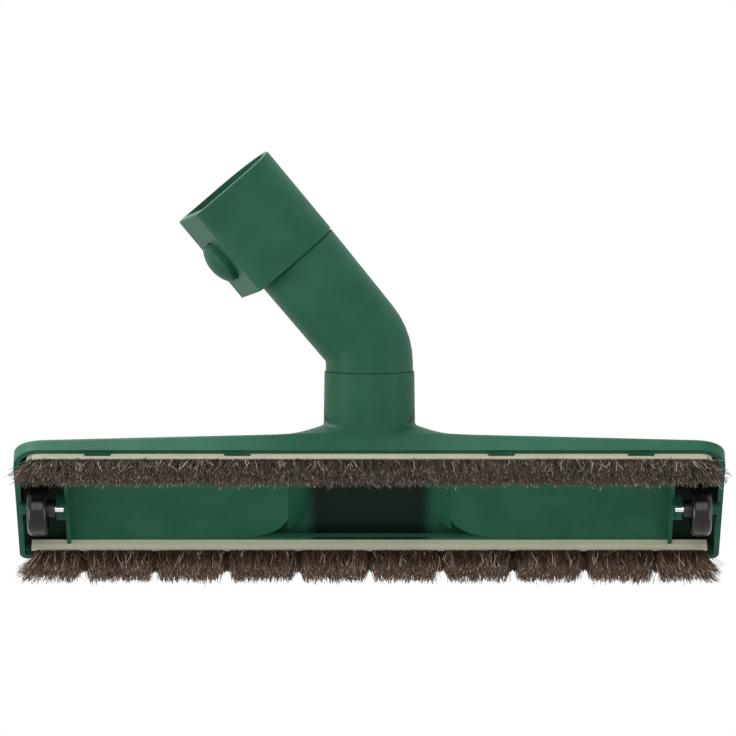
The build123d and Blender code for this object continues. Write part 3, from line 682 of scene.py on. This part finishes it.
def core_surface(middle_x, half_length, line_y, outwards):
    """Rings of a superellipse |x/a|^p + |y/b|^p = 1, from the strip down."""
    angle = np.linspace(0.0, 2.0 * math.pi, CORE_SIDES, endpoint=False)
    power = 2.0 / CORE_SQUARENESS
    ring_x = np.sign(np.cos(angle)) * np.abs(np.cos(angle)) ** power * half_length
    ring_y = np.sign(np.sin(angle)) * np.abs(np.sin(angle)) ** power * CORE_HALF_WIDTH
    level = np.linspace(0.0, 1.0, CORE_LEVELS)
    shorten = 1.0 - CORE_SHORTENING * level**3
    height = ROOT_HEIGHT + CORE_SUNK + (CORE_TIP_HEIGHT - ROOT_HEIGHT) * level
    widen = 1.0 + CORE_WIDENING * level[:, None]
    x = middle_x + ring_x[None] * shorten[:, None]
    y = line_y + outwards * CORE_SWEEP * level[:, None] + ring_y[None] * widen
    z = np.repeat(height[:, None], CORE_SIDES, axis=1)
    return np.stack([x, y, z], axis=2)


def core_piece(name, surfaces, finish):
    """A mesh of closed lofts, one for each surface, with a polygon at each end."""
    places = np.concatenate([surface.reshape(-1, 3) for surface in surfaces])
    level = np.arange(CORE_LEVELS - 1)[:, None] * CORE_SIDES
    side = np.arange(CORE_SIDES)[None]
    after = (side + 1) % CORE_SIDES
    below = level + CORE_SIDES
    walls = np.stack([level + side, below + side, below + after, level + after], axis=2)
    walls = walls.reshape(-1, 4)
    top = np.arange(CORE_SIDES)
    bottom = top[::-1] + (CORE_LEVELS - 1) * CORE_SIDES
    faces = []
    for number in range(len(surfaces)):
        first = number * CORE_LEVELS * CORE_SIDES
        faces += [*(walls + first).tolist(), (top + first).tolist(), (bottom + first).tolist()]
    mesh = bpy.data.meshes.new(name)
    mesh.from_pydata(places.tolist(), [], faces)
    add_number(mesh, "shade", np.full(len(places), CORE_SHADE))
    add_number(mesh, "along", np.full(len(places), CORE_ALONG))
    mesh.materials.append(finish)
    return show(name, mesh)


# %% [markdown]
# ## The rear strip
#
# The rear hair is one unbroken fringe. It is split into two pieces only to keep each mesh light, and
# so is the front hair. Each piece draws from its own seed, so the hair is the same in every run.

# %% Grow the rear hair
STRANDS_PER_PIECE = 14000
STRIP_END_INSET = 2.0 * MM
CORE_END_INSET = 1.0 * MM
REAR_SEED = 11
REARWARDS = -1.0
rear_reach = float(rear_high[0]) - STRIP_END_INSET


def settle(piece, node):
    """The piece rides on the head and stands for that hair solid."""
    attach(piece, "head")
    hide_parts(node)


def unbroken(x):
    """No lean from a notch and no cut, for hair without notches."""
    return np.zeros_like(x), np.zeros_like(x)


def grow(strip, reach, notching, line_y, outwards, seed, finish):
    """The strands of one strip, in a left and a right piece."""
    for number, half in enumerate(("left", "right")):
        rng = np.random.default_rng(seed + number)
        edge = -reach if half == "left" else 0.0
        roots = edge + reach * rng.random(STRANDS_PER_PIECE)
        splay = end_lean(roots, reach)
        notch, lowest = notching(roots)
        curves, shades = strand_curves(roots, splay, notch, lowest, line_y, outwards, rng)
        piece = strand_mesh(f"{strip}_hair_{half}", curves, shades, rng, finish)
        settle(piece, f"{strip}_bristles")


grow("rear", rear_reach, unbroken, REAR_LINE, REARWARDS, REAR_SEED, REAR_HAIR)
rear_core = core_surface(0.0, rear_reach - CORE_END_INSET, REAR_LINE, REARWARDS)
settle(core_piece("rear_hair_core", [rear_core], REAR_HAIR), "rear_bristles")
print("rear hair:", 2 * STRANDS_PER_PIECE, "strands")

# %% [markdown]
# ## The front strip
#
# The front hair stands in ten tufts, the two at the ends shorter, with notches between their tips that
# let coarse dirt pass under the head instead of being pushed along. Hair next to a notch leans away
# from it, and the lean fades out inside the tuft.

# %% Grow the front hair
TUFTS = 10
END_TUFT_SHARE = 0.67
NOTCH_WIDTH = 8.0 * MM
NOTCH_ROOF = 3.6 * MM
NOTCH_HEIGHT = 5.4 * MM
NOTCH_REACH = 6.0 * MM
FRONT_SEED = 31
FORWARDS = 1.0
front_reach = float(front_high[0]) - STRIP_END_INSET
tuft_pitch = 2.0 * front_reach / (TUFTS - 2 + 2.0 * END_TUFT_SHARE)
notches = (np.arange(1, TUFTS) - TUFTS / 2) * tuft_pitch


def tufted(x):
    """How far hair leans away from the nearest notch, and the height below which it is cut away.

    Hair over the notch hangs straight and ends at its roof. Beside the notch it leans away, less and
    less far into the tuft.
    """
    from_notches = x[:, None] - notches[None]
    nearest = np.argmin(np.abs(from_notches), axis=1)
    aside = from_notches[np.arange(len(x)), nearest]
    past_roof = np.abs(aside) - NOTCH_ROOF / 2.0
    fade = np.clip(1.0 - past_roof / NOTCH_REACH, 0.0, 1.0)
    lean = (NOTCH_WIDTH - NOTCH_ROOF) / 2.0 * fade
    over = past_roof < 0.0
    return np.where(over, 0.0, np.sign(aside) * lean), np.where(over, NOTCH_HEIGHT, 0.0)


grow("front", front_reach, tufted, FRONT_LINE, FORWARDS, FRONT_SEED, FRONT_HAIR)
edges = np.concatenate([[-front_reach], notches, [front_reach]])
front_cores = []
for left, right in zip(edges[:-1], edges[1:]):
    half_length = (right - left) / 2.0 - NOTCH_WIDTH / 2.0
    front_cores.append(core_surface((left + right) / 2.0, half_length, FRONT_LINE, FORWARDS))
settle(core_piece("front_hair_cores", front_cores, FRONT_HAIR), "front_bristles")
print("front hair:", 2 * STRANDS_PER_PIECE, "strands in", TUFTS, "tufts")

# %% [markdown]
# ## Leaf spring
#
# The steel leaf behind the button bends when the button is pressed. It is shown as the two halves of
# its solid, with cuts across them where it has to bend, from past the button's flange to near its
# ends. The leaf's own length is the direction in which its points spread most, which a singular value
# decomposition gives.

# %% Measure the leaf
FLANGE_ROOM = 0.3 * MM


def mesh_places(node):
    """Every vertex of a solid as an array, in metres."""
    return np.array([vertex.co for vertex in nodes[node].data.vertices])


leaf_places = mesh_places("button_leaf_spring")
leaf_middle = leaf_places.mean(axis=0)
leaf_way = np.linalg.svd(leaf_places - leaf_middle, full_matrices=False)[2][0]
along_leaf = (leaf_places - leaf_middle) @ leaf_way
leaf_middle = leaf_middle + leaf_way * (along_leaf.min() + along_leaf.max()) / 2.0
leaf_half = (along_leaf.max() - along_leaf.min()) / 2.0
flange_places = mesh_places("release_button") - leaf_middle
flange_reach = np.abs(flange_places @ leaf_way).max() + FLANGE_ROOM
print("leaf:", round(leaf_half / MM, 2), "mm each side")
print("flange:", round(flange_reach / MM, 2), "mm each side")

# %% Leaf spring in two halves
LEAF_CUTS = 12
WELD_DISTANCE = 0.001 * MM


def half_leaf(name, way):
    """The half of the leaf on one side of its middle, cut across where it has to bend."""
    form = bmesh.new()
    form.from_mesh(nodes["button_leaf_spring"].data)
    bmesh.ops.remove_doubles(form, verts=form.verts, dist=WELD_DISTANCE)
    cuts = np.linspace(flange_reach, leaf_half, LEAF_CUTS + 1)[:-1]
    for distance in (0.0, *cuts):
        bmesh.ops.bisect_plane(
            form,
            geom=[*form.verts, *form.edges, *form.faces],
            plane_co=leaf_middle + way * distance,
            plane_no=way,
            clear_inner=bool(distance == 0.0),
        )
    bmesh.ops.holes_fill(form, edges=[edge for edge in form.edges if edge.is_boundary])
    mesh = bpy.data.meshes.new(name)
    form.to_mesh(mesh)
    form.free()
    mesh.materials.append(STEEL)
    piece = show(name, mesh)
    leaf_middle + way * leaf_half
    leaf_middle + way * flange_reach
    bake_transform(piece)
    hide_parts("button_leaf_spring")
    print("made", name, "with", len(mesh.polygons), "faces")


half_leaf("leaf_spring_inner_half", leaf_way)
half_leaf("leaf_spring_outer_half", -leaf_way)

# %% [markdown]
# ## Camera
#
# The photograph looks at the head from behind and from below, square to its length, with a long lens.
# The camera's distance follows from how much smaller the far edge of the head is than the near one.

# %% Camera from behind and below
ELEVATION = math.radians(-42.0)
DISTANCE = 2.7
PIXELS_WIDE = 736
PIXELS_PER_MM = 1.971
SENSOR = 36.0
FAR_CLIP = 20.0
HEAD_MIDDLE_Y = (REAR_LINE + FRONT_LINE) / 2.0
AIM_UP = 80.3 * MM
AIM_RIGHT = -0.7 * MM
AIM_BACK = 1.5 * MM

towards = Vector((0.0, -math.cos(ELEVATION), math.sin(ELEVATION)))
image_up = Vector((0.0, math.sin(ELEVATION), math.cos(ELEVATION)))
aim = Vector((AIM_RIGHT, HEAD_MIDDLE_Y - AIM_BACK, 0.0)) + image_up * AIM_UP

camera_data = bpy.data.cameras.new("camera")
camera_data.sensor_width = SENSOR
camera_data.lens = SENSOR * DISTANCE / (PIXELS_WIDE / PIXELS_PER_MM * MM)
camera_data.clip_end = FAR_CLIP
camera = show("camera", camera_data)
camera.location = aim + towards * DISTANCE
camera.rotation_euler = (-towards).to_track_quat("-Z", "Y").to_euler()
bpy.context.scene.camera = camera
print("camera:", [round(v, 3) for v in camera.location], "lens:", round(camera_data.lens, 1))

# %% [markdown]
# ## Light, floor and background
#
# The picture has soft studio light and a white background. The floor is pale and keeps the shadow,
# but the photograph looks up from under it. So the floor is one-sided: its lower side is clear, and it
# lets the lamps below it through. The world is white where it is seen or mirrored and dimmer as a
# light.

# %% Floor and world
FLOOR_HALF = 3.0
FLOOR_GREY = (0.82, 0.82, 0.82, 1.0)
WHITE = (1.0, 1.0, 1.0, 1.0)
AMBIENT = 0.33


def floor_finish():
    f = Finish("pale_floor")
    below = f.node("ShaderNodeNewGeometry")["Backfacing"]
    shadow_ray = f.node("ShaderNodeLightPath")["Is Shadow Ray"]
    pale = f.node("ShaderNodeBsdfDiffuse", None, {"Color": FLOOR_GREY})["BSDF"]
    through = f.node("ShaderNodeBsdfTransparent")["BSDF"]
    either = {0: below.larger(shadow_ray), 1: pale, 2: through}
    surface = f.node("ShaderNodeMixShader", None, either)["Shader"]
    f.node("ShaderNodeOutputMaterial", None, {"Surface": surface})
    return f.material


floor_corners = np.array([[-1, -1, 0], [1, -1, 0], [1, 1, 0], [-1, 1, 0]]) * FLOOR_HALF
floor_mesh = bpy.data.meshes.new("floor")
floor_mesh.from_pydata(floor_corners.tolist(), [], [(0, 1, 2, 3)])
floor_mesh.materials.append(floor_finish())
floor = show("floor", floor_mesh)
floor.visible_diffuse = False
floor.visible_glossy = False

world = bpy.data.worlds.new("studio")
sky = Graph(world)
ray = sky.node("ShaderNodeLightPath")
seen = ray["Is Camera Ray"].larger(ray["Is Glossy Ray"]).larger(ray["Is Transmission Ray"])
strength = sky.node("ShaderNodeMapRange", None, {"Value": seen, "To Min": AMBIENT})["Result"]
light = sky.node("ShaderNodeBackground", None, {"Strength": strength, "Color": WHITE})
sky.node("ShaderNodeOutputWorld", None, {"Surface": light["Background"]})
bpy.context.scene.world = world
print("floor:", 2.0 * FLOOR_HALF, "m wide, ambient light:", AMBIENT)

# %% Lamps
image_right = Vector((1.0, 0.0, 0.0))


def soft_lamp(name, right, up, near, width, height, power):
    """A flat lamp that points at the aim, placed in metres right of, above and nearer than it."""
    data = bpy.data.lights.new(name, "AREA")
    data.shape = "RECTANGLE"
    data.size = width
    data.size_y = height
    data.energy = power
    lamp = show(name, data)
    place = image_right * right + image_up * up + towards * near
    lamp.location = aim + place
    lamp.rotation_euler = (-place).to_track_quat("-Z", "Y").to_euler()
    print("lamp", name, "at", [round(v, 2) for v in lamp.location], "with", power, "W")


soft_lamp("key_above", right=-0.55, up=1.15, near=-0.25, width=1.1, height=1.1, power=29.0)
soft_lamp("softbox", right=0.0, up=0.4, near=1.35, width=0.75, height=1.2, power=7.5)
soft_lamp("low_left", right=-1.2, up=-0.4, near=0.45, width=0.8, height=0.8, power=9.0)
soft_lamp("low_right", right=1.2, up=-0.4, near=0.45, width=0.8, height=0.8, power=6.0)
bpy.context.scene.view_settings.view_transform = "Standard"
